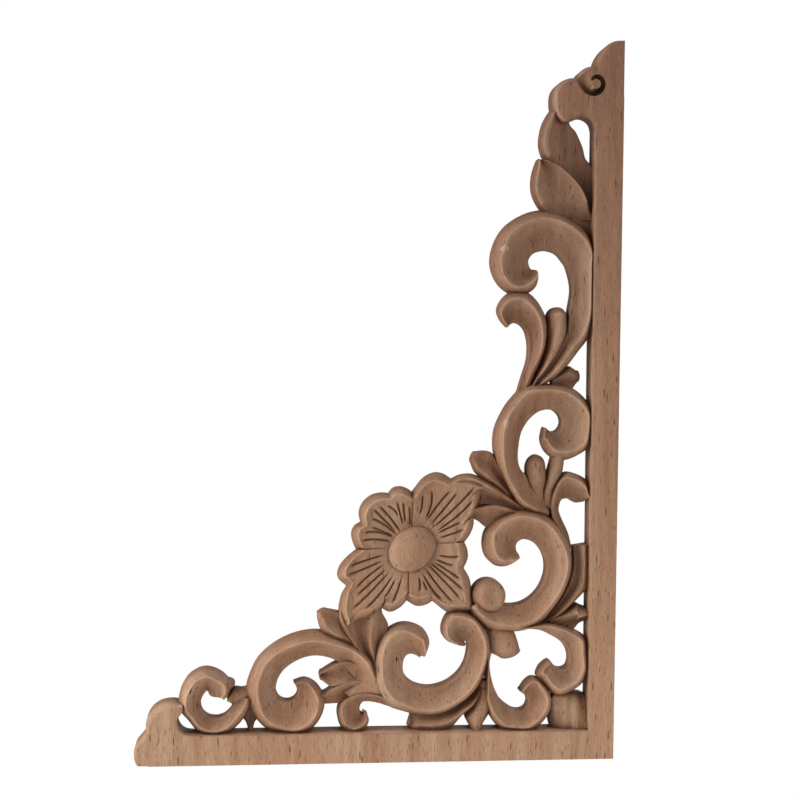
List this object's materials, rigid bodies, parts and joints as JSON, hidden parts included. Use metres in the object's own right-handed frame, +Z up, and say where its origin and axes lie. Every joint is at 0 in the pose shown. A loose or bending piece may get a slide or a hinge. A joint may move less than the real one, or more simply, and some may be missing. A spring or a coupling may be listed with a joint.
{
  "type": "carved corner onlay",
  "caption": "Pierced L-shaped wooden corner onlay: two straight bars with scalloped ends, an open filling of C-scrolls and leaves, and a four-petalled flower in the angle.",
  "frame": {"origin": "on the flat back, in the outer corner where the two bars cross, at the middle of both bars' widths", "axes": "+X to the right across the short bar, +Y into the surface the onlay is fixed to, +Z up along the long bar; the carved face looks along -Y"},
  "size_m": [0.1997, 0.012, 0.3006],
  "materials": {
    "wood": "bare, sanded, unfinished"
  },
  "bodies": {
    "root": {"corner_onlay": "wood"}
  },
  "joints": []
}
